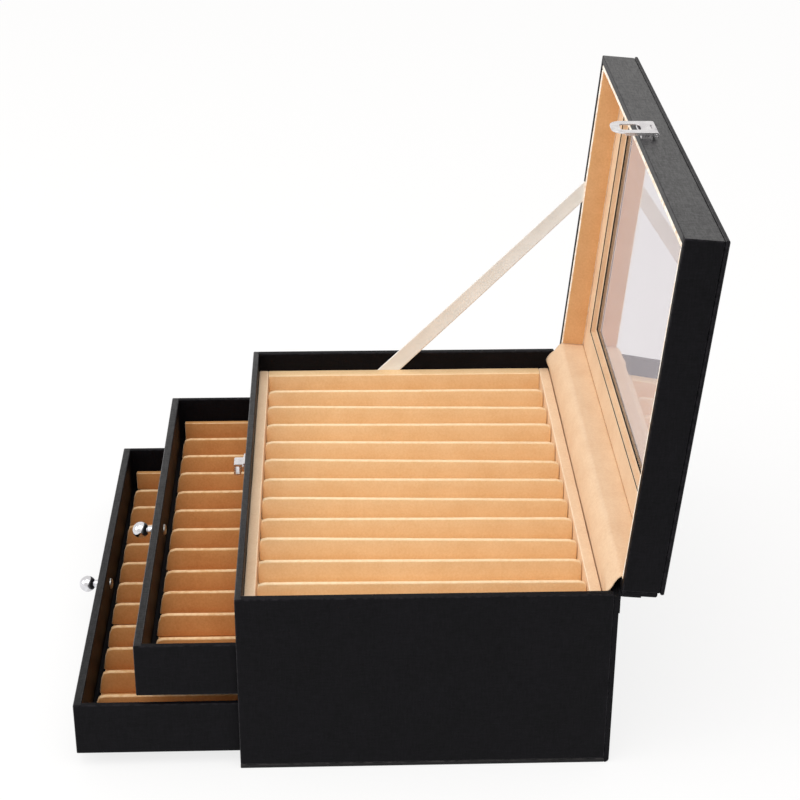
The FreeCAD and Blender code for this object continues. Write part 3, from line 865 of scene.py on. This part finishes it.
for tier, body in enumerate(("upper_drawer", "lower_drawer")):
    for number, part in enumerate(("_pad", "_left_liner", "_right_liner")):
        low, high = thinPad(body + part) if part == "_pad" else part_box(body + part)
        piece = softBoard(
            body + part + "_suede", low, high, insert["edgeRound"], drawerSuedePaintedShade, seed=tier * 5 + number * 1.9)
        dress(piece, body, "beige_suede", body + part)
    low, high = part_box(body + "_dividers")
    low = Vector((low.x, low.y, thinPad(body + "_pad")[1].z))
    row = dividerRow(body + "_divider_row", low, high, 11 + tier, drawerSuedePaintedShade, card["slant"])
    dress(row, body, "beige_suede", body + "_dividers")
print("inserts made")

# drawers

drawer = {
    "parts": ("front", "back", "left_side", "right_side", "bottom"),
    "edgeRound": 0.7 * mm,
    "slack": 0.2 * mm,
}
knob = {
    "ball": 5.1, "reach": 9.3, "neck": 2.6, "flange": 3.9, "flangeThick": 1.7,
    "lip": 0.25, "lipShare": 0.97, "shoulder": 1.1, "taper": 1.5, "fillet": 0.5, "flare": 0.15,
}
screw = {
    "dome": ((0.0, 0.0), (0.05, 1.6), (0.3, 2.6), (0.75, 3.2), (1.3, 3.4), (1.6, 3.4)),
    "thick": 1.6,
    "shank": 2.0,
    "tip": 1.6,
    "tipLong": 0.4,
    "slotWide": 0.9,
    "slotDeep": 0.7,
    "slotLong": 8.0,
    "slotOver": 2.0,
    "slotRound": 0.05,
    "slotTurn": 24,
}


def insideDrawer(insideFront):
    # the side rims and the inside of the front shine less
    def pick(centre, normal):
        behind = centre.y > insideFront + drawer["slack"]
        return normal.z > tilt["rim"] if behind else normal.y > tilt["front"]

    return pick


def knobProfile():
    # a rounded flange against the front, a waist and a ball
    ball, reach, neck, flange, lip = knob["ball"], knob["reach"], knob["neck"], knob["flange"], knob["lip"]
    points = [(0.0, 0.0), (0.0, flange * knob["lipShare"]), (lip, flange)]
    for angle in evenly(0, math.pi / 2, 6)[1:]:
        out = lip + knob["shoulder"] * math.sin(angle)
        points.append((out, flange - knob["taper"] * (1 - math.cos(angle))))
    join = math.asin(neck / ball)
    points.append((knob["flangeThick"] + knob["fillet"], neck + knob["flare"]))
    points.append((reach - ball * math.cos(join) - knob["fillet"], neck))
    around = evenly(join, math.pi, 24)[:-1]
    points += [(reach - ball * math.cos(angle), ball * math.sin(angle)) for angle in around]
    points.append((reach + ball, 0.0))
    return [(out * mm, radius * mm) for out, radius in points]


def drivenScrew(name, low, high):
    # a low dome with a driver slot, seen from inside the drawer, and its shank
    centre = centred(low, high, 0)
    outline = screw["dome"] + ((screw["thick"], screw["shank"]),)
    dome = [(out * mm - high.y, radius * mm) for out, radius in outline]
    shank = [
        (-low.y - screw["tipLong"] * mm, screw["shank"] * mm),
        (-low.y, screw["tip"] * mm),
        (-low.y, 0.0),
    ]
    thing = lathe(name, dome + shank, centre, zinc, 32)
    aside, along = screw["slotWide"] / 2 * mm, screw["slotLong"] / 2 * mm
    cutter = softBoard(
        "cutter", Vector((centre.x - aside, high.y - screw["slotDeep"] * mm, centre.z - along)),
        Vector((centre.x + aside, high.y + screw["slotOver"] * mm, centre.z + along)),
        screw["slotRound"] * mm, zinc, waver=0,
    )
    turn = Matrix.Rotation(math.radians(screw["slotTurn"]), 4, "Y")
    cutter.data.transform(Matrix.Translation(centre) @ turn @ Matrix.Translation(-centre))
    cut = thing.modifiers.new("driver slot", "BOOLEAN")
    cut.operation = "DIFFERENCE"
    cut.object = cutter
    settle(thing)
    bpy.data.objects.remove(cutter)
    return thing


for body in ("upper_drawer", "lower_drawer"):
    nodes = [body + "_" + part for part in drawer["parts"]]
    walls = [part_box(node) for node in nodes]
    pick = insideDrawer(walls[0][1].y)
    shell = fusedBoards(body + "_shell", walls, drawer["edgeRound"], (leather, dullLeather), pick)
    dress(shell, body, "black_leatherette", *nodes)
    low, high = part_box(body + "_knob")
    ball = lathe(body + "_ball_knob", knobProfile(), centred(low, high, high.y), chrome)
    dress(ball, body, "chrome", body + "_knob")
    head = drivenScrew(body + "_screw", *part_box(body + "_knob_screw"))
    dress(head, body, "zinc_steel", body + "_knob_screw")
print("drawers made")

# lid, drawn closed and swung open

lid = {
    "open": 95.26, "hingeY": 105.1, "hingeZ": 111.4,
    "side": 155.0, "back": 102.5, "low": 112.3, "high": 133.0,
    "wall": 4.6, "wallRound": 0.75, "stripRound": 0.5,
    "board": 2.3, "boardRound": 1.0, "overhang": 0.7,
    "glass": 1.4, "play": 0.5, "slack": 0.1,
    "bead": 0.7, "beadStep": 3.0, "beadSetBack": 0.3, "beadRound": 0.1, "beadSlack": 0.02,
    "frame": 3.5, "frameRound": 0.13, "margin": 18.0,
}
hinge = Vector((0, lid["hingeY"] * mm, lid["hingeZ"] * mm))
turn = Matrix.Rotation(-math.radians(lid["open"]), 4, "X")
swing = Matrix.Translation(hinge) @ turn @ Matrix.Translation(-hinge)


def opened(y, z):
    # where a place on the closed lid comes when it is open
    point = swing @ Vector((0, y * mm, z * mm))
    return (point.y, point.z)


def dressLid(thing, slot, *nodes):
    thing.data.transform(swing)
    dress(thing, "lid", slot, *nodes)


def ring(outX, outY, inX, inY, low, high):
    # four boards round an opening
    rows = [
        ((-outX, -outY), (outX, -inY)),
        ((-outX, inY), (outX, outY)),
        ((-outX, -inY), (-inX, inY)),
        ((inX, -inY), (outX, inY)),
    ]
    return [((a * mm, b * mm, low * mm), (c * mm, d * mm, high * mm)) for (a, b), (c, d) in rows]


innerX, innerY = lid["side"] - lid["wall"], lid["back"] - lid["wall"]
windowX, windowY = innerX - lid["margin"], innerY - lid["margin"]
glazedX, glazedY = windowX - lid["beadStep"], windowY - lid["beadStep"]
paneX, paneY = innerX - lid["play"], innerY - lid["play"]
glassLow = lid["high"] - lid["glass"]
beadLow = glassLow - lid["bead"]
beadFace = beadLow + lid["bead"] / 2
frameLow = beadLow - lid["frame"]


def onLidRim(centre, normal):
    # the rim of the lid's walls shines less, most of all at its ends
    if normal.z > -tilt["rim"]:
        return 0
    return 1 if abs(centre.x) > (innerX - lid["slack"]) * mm else 2


walls = ring(lid["side"], lid["back"], innerX, innerY, lid["low"], lid["high"])
finishes = (leather, dullLeather, rimLeather)
shell = fusedBoards("lid_wall_shell", walls, lid["wallRound"] * mm, finishes, onLidRim)
dressLid(shell, "black_leatherette", "lid_front_wall", "lid_back_wall", "lid_left_wall", "lid_right_wall")


def onBoardEdge(centre, normal):
    return abs(normal.z) < tilt["edge"]


outX, outY = lid["side"] + lid["overhang"], lid["back"] + lid["overhang"]
top = ring(outX, outY, glazedX, glazedY, lid["high"], lid["high"] + lid["board"])
board = fusedBoards("lid_top_frame", top, lid["boardRound"] * mm, (leather, edgeLeather), onBoardEdge, 4)
dressLid(board, "black_leatherette", "lid_top_board")
strip = easedCopy("lid_back_strip", "lid_back_board", lid["stripRound"] * mm, leather)
dress(strip, "lid", "black_leatherette", "lid_back_board")


def underBead(centre, normal):
    # the set back half that meets the glass, painted dark as the shadow there
    return centre.z > (beadFace - lid["beadSlack"]) * mm


setBack = lid["beadSetBack"]
beadBoards = ring(paneX, paneY, glazedX, glazedY, beadLow, beadFace)
beadBoards += ring(paneX, paneY, glazedX + setBack, glazedY + setBack, beadFace, glassLow)
bead = fusedBoards("window_bead_strip", beadBoards, lid["beadRound"] * mm, (suede, paintedShadowCard), underBead, 2)
dressLid(bead, "beige_suede", "window_bead")

# the panel round the window: a face card, a joint set back from the opening and painted dark as the shadow in
# it, and the frame
joint = {"card": 0.3, "deep": 0.55, "back": 0.9, "slack": 0.01}
cardTop = frameLow + joint["card"]
jointTop = cardTop + joint["deep"]
jointX, jointY = windowX + joint["back"], windowY + joint["back"]


def inJoint(centre, normal):
    # the set back joint's faces, painted dark as the shadow in it
    atWindow = abs(centre.x) < (jointX + lid["slack"]) * mm and abs(centre.y) < (jointY + lid["slack"]) * mm
    return atWindow and (cardTop - joint["slack"]) * mm < centre.z < (jointTop + joint["slack"]) * mm


panelBoards = ring(paneX, paneY, windowX, windowY, frameLow, cardTop)
panelBoards += ring(paneX, paneY, jointX, jointY, cardTop, jointTop)
panelBoards += ring(paneX, paneY, windowX, windowY, jointTop, beadLow)
panel = fusedBoards("lid_frame_panel", panelBoards, lid["frameRound"] * mm, (suede, paintedShadowCard), inJoint, 2)
dressLid(panel, "beige_suede", "lid_inner_frame")

lining = {"thick": 3.0, "backThick": 0.35, "endGap": 0.5, "low": 112.6, "edgeRound": 0.9}
insideX, insideY = innerX - lining["thick"], innerY - lining["thick"]
linings = {
    "lid_left_lining": ((-innerX, -insideY), (-insideX, innerY - lining["endGap"]), liningSuedePaintedShadeAndHighlight),
    "lid_right_lining": ((insideX, -insideY), (innerX, innerY - lining["endGap"]), liningSuedePaintedShadeAndHighlight),
    "lid_front_lining": ((-innerX, -innerY), (innerX, -insideY), liningSuedePaintedShadeAndHighlight),
    "lid_back_lining": ((-innerX, innerY - lining["backThick"]), (innerX, innerY), suede),
}
for number, (node, (low, high, finish)) in enumerate(linings.items()):
    piece = softBoard(
        node + "_suede", Vector((*low, lining["low"])) * mm, Vector((*high, frameLow)) * mm,
        lining["edgeRound"] * mm, finish, seed=20 + number * 1.7,
    )
    markPaintedHighlight(piece, lambda normal: normal.z < -tilt["rim"])  # a painted highlight all along its rim
    dressLid(piece, "beige_suede", node)

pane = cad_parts["window_glass"]
pane.data.materials.clear()
pane.data.materials.append(glass)
print("lid made")

# cloth inside the hinge

hingeCloth = {
    "half": 149.9,
    "lidHalf": 147.3,
    "narrowFrom": 111.5,
    "narrowOver": 3.0,
    "thick": 0.6,
    "rows": 48,
    "columns": 110,
    "ripple": 0.22,
    "casePath": (
        (99.5, 91), (99.5, 96), (99.5, 101.5), (99.8, 106.5), (101.1, 111.6), (103.4, 116.0), (106.4, 119.0),
    ),
    "lidPath": ((96.95, 115.7), (96.95, 121), (96.95, 127.25)),
    "bend": ((0, 0.0995, 0.104), (0, 0.1055, 0.1180)),
    "bulgeFrom": 118,
    "bulgeOver": 32,
}
bulges = {"left": {"up": 106, "reach": 7.5, "out": 2.6}, "right": {"up": 109.5, "reach": 5, "out": 2.4}}


def clothPath(piece):
    # first the places on the case, then those on the closed lid
    still = [(y * mm, z * mm) for y, z in piece["casePath"]]
    return smoothPath(still + [opened(y, z) for y, z in piece["lidPath"]], piece["rows"])


def shareOf(value, start, run):
    return min(max((value / mm - start) / run, 0), 1)


def clothWidth(z):
    # narrower where it lies between the lid's end linings
    part = shareOf(z, hingeCloth["narrowFrom"], hingeCloth["narrowOver"])
    return 1 - part * (1 - hingeCloth["lidHalf"] / hingeCloth["half"])


def clothBulge(x, z):
    # it crowds forward at both ends, most at the left
    bulge = bulges["right" if x > 0 else "left"]
    along = shareOf(abs(x), hingeCloth["bulgeFrom"], hingeCloth["bulgeOver"])
    up = max(0, 1 - abs(z / mm - bulge["up"]) / bulge["reach"])
    return bulge["out"] * mm * along * along * up * up * (3 - 2 * up)


cloth, length = clothStrip(
    "hinge_cloth", hingeCloth, clothPath(hingeCloth), (-hingeCloth["thick"] * mm, 0), suede,
    hingeCloth["ripple"] * mm, clothWidth, clothBulge,
)
flat = (2 * hingeCloth["half"] * mm, length)
dressSheet(cloth, "hinge_lining")

# skin outside the hinge

skin = {
    "half": 155.0,
    "thick": 0.7,
    "rows": 30,
    "columns": 60,
    "casePath": ((105.0, 100.0), (105.0, 105.0), (105.0, 109.5), (105.35, 111.4)),
    "lidPath": ((105.0, 113.6), (105.0, 118.0), (105.0, 123.0)),
    "bend": ((0, 0.105, 0.1095), (0, 0.1075, 0.1125)),
}
faces = (0, skin["thick"] * mm)
spine, length = clothStrip("hinge_skin_strip", skin, clothPath(skin)[::-1], faces, leather)
flat = (2 * skin["half"] * mm, length)
dressSheet(spine, "hinge_skin")

# ribbon

ribbon = {
    "x": -150.3,
    "footY": -9.9,
    "footZ": 99.8,
    "tuck": 7.0,  # goes down between the wall and the insert
    "levelCut": 16.0,  # how wide it is when cut level
    "thick": 0.4,
    "reach": 117.9,
    "up": 4.0,
    "footShare": 0.96,
    "headShare": 0.82,
    "sway": 0.9,
    "cup": 0.25,
    "rows": 90,
    "columns": 12,
}
head = Vector(opened(lid["back"] - ribbon["reach"], lid["low"] + ribbon["up"]))
foot = Vector((ribbon["footY"] * mm, ribbon["footZ"] * mm))
run = (head - foot).normalized()
foot -= run * ribbon["tuck"] * mm
across = Vector((run[1], -run[0]))
half = ribbon["levelCut"] / 2 * mm * run[1]
length = (head - foot).length


def ribbonPoint(along, aside, side):
    # it is drawn in a little toward the lid, along its upper edge
    drawn = ribbon["footShare"] + (ribbon["headShare"] - ribbon["footShare"]) * along
    y, z = foot + run * length * along + across * half * (2 * drawn * aside - 1)
    sway = math.sin(math.pi * along) * ribbon["sway"]
    cup = (2 * aside - 1) ** 2 * ribbon["cup"]
    return ((ribbon["x"] + sway + cup + side * ribbon["thick"]) * mm, y, z)


alongs, asides = evenly(0, 1, ribbon["rows"]), evenly(0, 1, ribbon["columns"])
sides = [[[ribbonPoint(along, aside, side) for aside in asides] for along in alongs] for side in (0, 1)]
flatHalf = half * ribbon["footShare"]
flat = [[(flatHalf * (2 * aside - 1), length * along) for aside in asides] for along in alongs]
strap = closedSheet("ribbon_strap", sides, flat, satin)
dressSheet(strap, "ribbon_stay")
print("cloth made")

# latch

latch = {
    "staple": ("case", 0.18, 2),
    "hasp_base": ("lid", 0.2, 2),
    "hasp_pin": ("lid", 0.25, 3),
    "hasp_flap": ("hasp", 0.22, 3),
}
for node, (body, width, segments) in latch.items():
    piece = easedCopy(node + "_plated", node, width * mm, nickel, segments)
    dress(piece, body, "chrome", node)

rivets = {
    "head": 1.7, "rise": 0.9, "shank": 0.8, "length": 3.6,
    "leaf": 1.7, "side": -3.2, "spread": 6.0, "up": 4.2,
}
tacks = {"head": 0.9, "rise": 0.6, "shank": 0.45}
brim = 0.25  # share of a head's rise where its dome begins


def headedPair(name, fixing, spread, centre, depth):
    # two domed heads on shanks, side by side
    head, rise, shank = fixing["head"] * mm, fixing["rise"] * mm, fixing["shank"] * mm
    turns = evenly(0, math.pi / 2, 6)[:-1]
    dome = [(rise * (brim + (1 - brim) * math.sin(turn)), head * math.cos(turn)) for turn in turns]
    profile = [(-depth, 0.0), (-depth, shank), (0.0, shank), (0.0, head), *dome, (rise, 0.0)]
    pin = lathe(name, profile, centre, nickel, 24)
    return repeat(pin, 2, (2 * spread, 0, 0), 0.0, 3, nickel)


place = Vector((rivets["side"], -lid["back"] - rivets["leaf"], lid["low"] + rivets["up"])) * mm
depth = (rivets["leaf"] + rivets["length"]) * mm
pair = headedPair("hasp_rivet_pair", rivets, rivets["spread"] * mm, place, depth)
dressLid(pair, "chrome", "hasp_rivets")
low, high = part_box("staple_tacks")
place = centred(low, high, low.y + tacks["rise"] * mm)
spread = (high.x - low.x) / 2 - tacks["head"] * mm
pair = headedPair("staple_tack_pair", tacks, spread, place, high.y - place.y)
dress(pair, "case", "chrome", "staple_tacks")
print("latch made")

# floor, light and camera

studio = {
    "floor": rgb(246, 245, 244),
    "floorSize": 30,
    "floorDrop": 0.2 * mm,
    "floorGlow": 0.78,
    "sky": (1.0, 0.985, 0.97, 1),
    "skyPower": 0.9,
    "white": (1, 1, 1, 1),
    "aim": (0, 0, 0.1),
}
lamps = {
    "overhead softbox": {"place": (0.55, -0.25, 1.6), "size": (1.5, 1.4), "watts": 10},
    "front softbox": {"place": (0.3, -1.6, 0.9), "size": (1.2, 1.0), "watts": 6},
}
view = {
    "place": (1.0132, -0.04635, 0.6672),
    "yaw": 2.15,
    "pitch": -26.92,
    "roll": 0.34,
    "lens": 85.27,
    "sensor": 36,
    "near": 0.01,
}


def floorFinish():
    # it takes the shadows, and is lit from within as far as the camera sees it
    finish = Finish("studio floor", Specular_IOR_Level=0.1)
    shadowed = finish.put("ShaderNodeBsdfDiffuse", {}, {"Color": studio["floor"]})
    glow = finish.put("ShaderNodeEmission", {}, {"Color": studio["white"], "Strength": 1.0})
    kinds = ("Camera", "Glossy", "Transmission")
    rays = [finish.put("ShaderNodeLightPath", out=f"Is {kind} Ray") for kind in kinds]
    seen = (rays[0] + rays[1] + rays[2]) * studio["floorGlow"]
    mixed = finish.put("ShaderNodeMixShader", {}, {0: seen, 1: shadowed, 2: glow})
    feed(finish.tree, finish.output.inputs["Surface"], mixed)
    return finish.material


def studioWorld():
    # a soft sky that lights, and plain white behind
    world = bpy.data.worlds.new("studio")
    world.use_nodes = True
    tree = world.node_tree
    tree.nodes.clear()
    rays = addNode(tree, "ShaderNodeLightPath")
    either = {0: rays["Is Camera Ray"], 1: rays["Is Transmission Ray"]}
    seen = addNode(tree, "ShaderNodeMath", {"operation": "MAXIMUM"}, either)[0]
    light = {"Color": studio["sky"], "Strength": studio["skyPower"]}
    sky = addNode(tree, "ShaderNodeBackground", {}, light)[0]
    white = addNode(tree, "ShaderNodeBackground", {}, {"Color": studio["white"]})[0]
    mixed = addNode(tree, "ShaderNodeMixShader", {}, {0: seen, 1: sky, 2: white})[0]
    addNode(tree, "ShaderNodeOutputWorld", {}, {"Surface": mixed})
    return world


scene = bpy.context.scene
bm = bmesh.new()
bmesh.ops.create_grid(bm, x_segments=4, y_segments=4, size=studio["floorSize"] / 2)
floor = asObject("studio_floor", bm, floorFinish())
floor.data.transform(Matrix.Translation((0, 0, -studio["floorDrop"])))
scene.world = studioWorld()

for name, box in lamps.items():
    lamp = bpy.data.lights.new(name, "AREA")
    lamp.shape = "RECTANGLE"
    lamp.size, lamp.size_y = box["size"]
    lamp.energy = box["watts"]
    holder = bpy.data.objects.new(name, lamp)
    holder.location = box["place"]
    holder.rotation_euler = (Vector(studio["aim"]) - Vector(box["place"])).to_track_quat("-Z", "Y").to_euler()
    scene.collection.objects.link(holder)

camera = bpy.data.objects.new("camera", bpy.data.cameras.new("camera"))
camera.data.lens = view["lens"]
camera.data.sensor_width = view["sensor"]
camera.data.clip_start = view["near"]
turn = Euler((math.radians(90 + view["pitch"]), 0, math.radians(90 - view["yaw"]))).to_matrix()
turn = turn @ Matrix.Rotation(math.radians(view["roll"]), 3, "Z")
camera.matrix_world = Matrix.Translation(view["place"]) @ turn.to_4x4()
scene.collection.objects.link(camera)
scene.camera = camera
scene.view_settings.view_transform = "Standard"
print("studio made")
